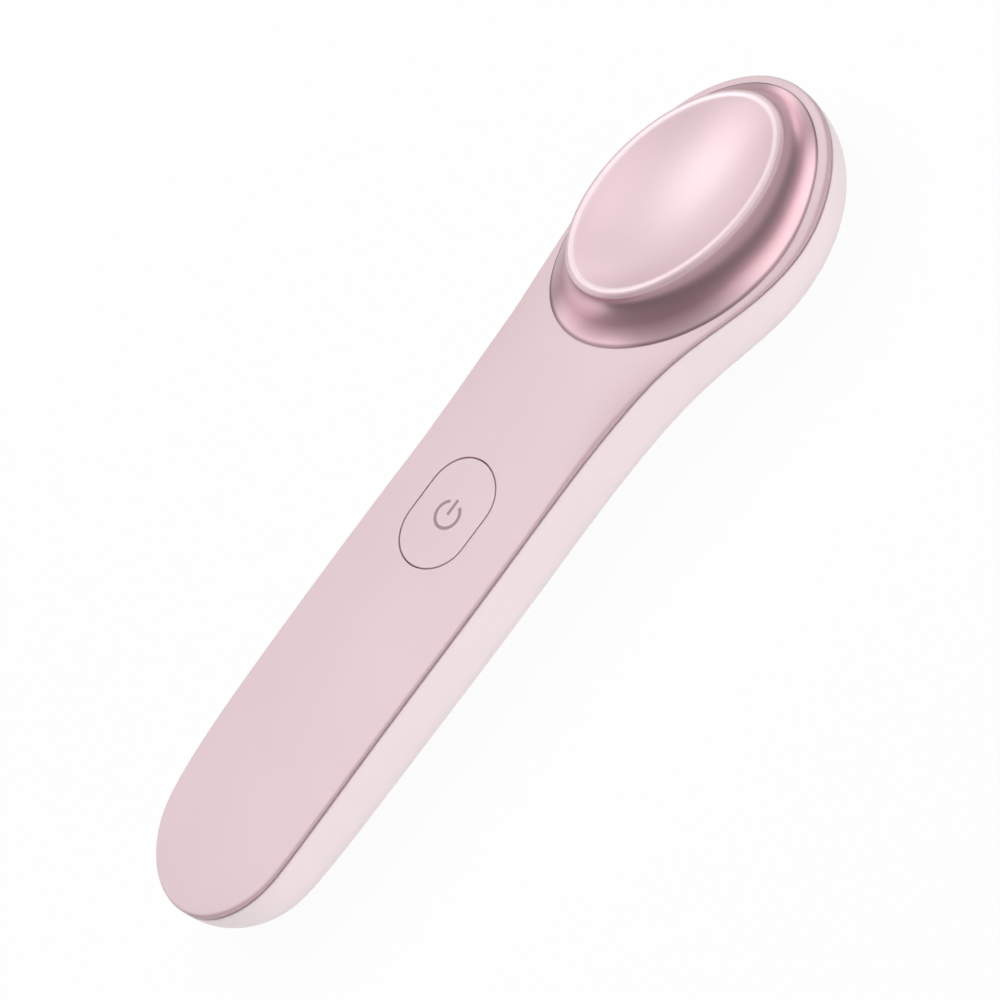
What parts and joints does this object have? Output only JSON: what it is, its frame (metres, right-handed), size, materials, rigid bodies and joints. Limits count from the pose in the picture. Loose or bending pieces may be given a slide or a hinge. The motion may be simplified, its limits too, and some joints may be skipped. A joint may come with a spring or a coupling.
{
  "type": "hand-held eye massager",
  "caption": "Slim hand-held wand with a flared metal cup on its head that warms and massages round the eye, a push button on the handle and a charging socket in the tail.",
  "frame": {"origin": "centre of the bounding box on the flat back that the wand lies on", "axes": "+Y along the wand from tail to head, +Z out of the front face with the button and the cup, +X to the right seen from the front with the head up"},
  "size_m": [0.037, 0.145, 0.024],
  "materials": {
    "front_pink": "matte soft-touch pale pink",
    "rear_pink": "satin paler pink",
    "rose_metal": "bright rose anodised, satin in the hollow",
    "button_pink": "matte pale pink with a printed power symbol",
    "screw_steel": "plain",
    "heater_amber": "amber film",
    "pad_grey": "foam",
    "black_plastic": "matte black",
    "lead_white": "smooth insulation",
    "lead_red": "smooth insulation",
    "board_green": "solder mask",
    "lamp_white": "clear lens",
    "socket_ivory": "ivory",
    "plunger_grey": "matte grey",
    "cell_silver": "satin foil pouch",
    "socket_steel": "plated",
    "motor_steel": "plain",
    "bush_brass": "plain",
    "boot_rubber": "matte black",
    "clamp_steel": "stamped strip",
    "weight_steel": "dull dense metal"
  },
  "bodies": {
    "casing": {"front_cover": "front_pink", "rear_cover": "rear_pink", "massage_head": "rose_metal", "head_screws": "screw_steel", "heater_film": "heater_amber", "heat_pad": "pad_grey", "thermistor": "black_plastic", "heater_leads": "lead_white", "main_board": "board_green", "board_screws": "screw_steel", "board_chips": "black_plastic", "status_leds": "lamp_white", "lead_sockets": "socket_ivory", "tact_switch": "black_plastic", "battery_cell": "cell_silver", "battery_pad": "pad_grey", "battery_leads": "lead_red", "charge_leads": "lead_red", "usb_board": "board_green", "usb_board_screws": "screw_steel", "usb_socket": "socket_steel", "usb_tongue": "black_plastic", "motor_can": "motor_steel", "motor_end_cap": "plunger_grey", "motor_bush": "bush_brass", "motor_boot": "boot_rubber", "motor_clamp": "clamp_steel", "clamp_screws": "screw_steel", "motor_leads": "lead_white"},
    "button": {"power_button": "button_pink", "switch_plunger": "plunger_grey"},
    "rotor": {"motor_shaft": "motor_steel", "eccentric_weight": "weight_steel"}
  },
  "joints": [
    {"name": "button_press", "type": "slide", "parent": "casing", "child": "button", "axis": [0, 0, -1], "range_m": [0, 0.0004], "stiffness_N_per_m": 4000},
    {"name": "rotor_spin", "type": "hinge", "parent": "casing", "child": "rotor", "pos_m": [0, 0.0492, 0.0066], "axis": [0, 1, 0], "continuous": true}
  ]
}
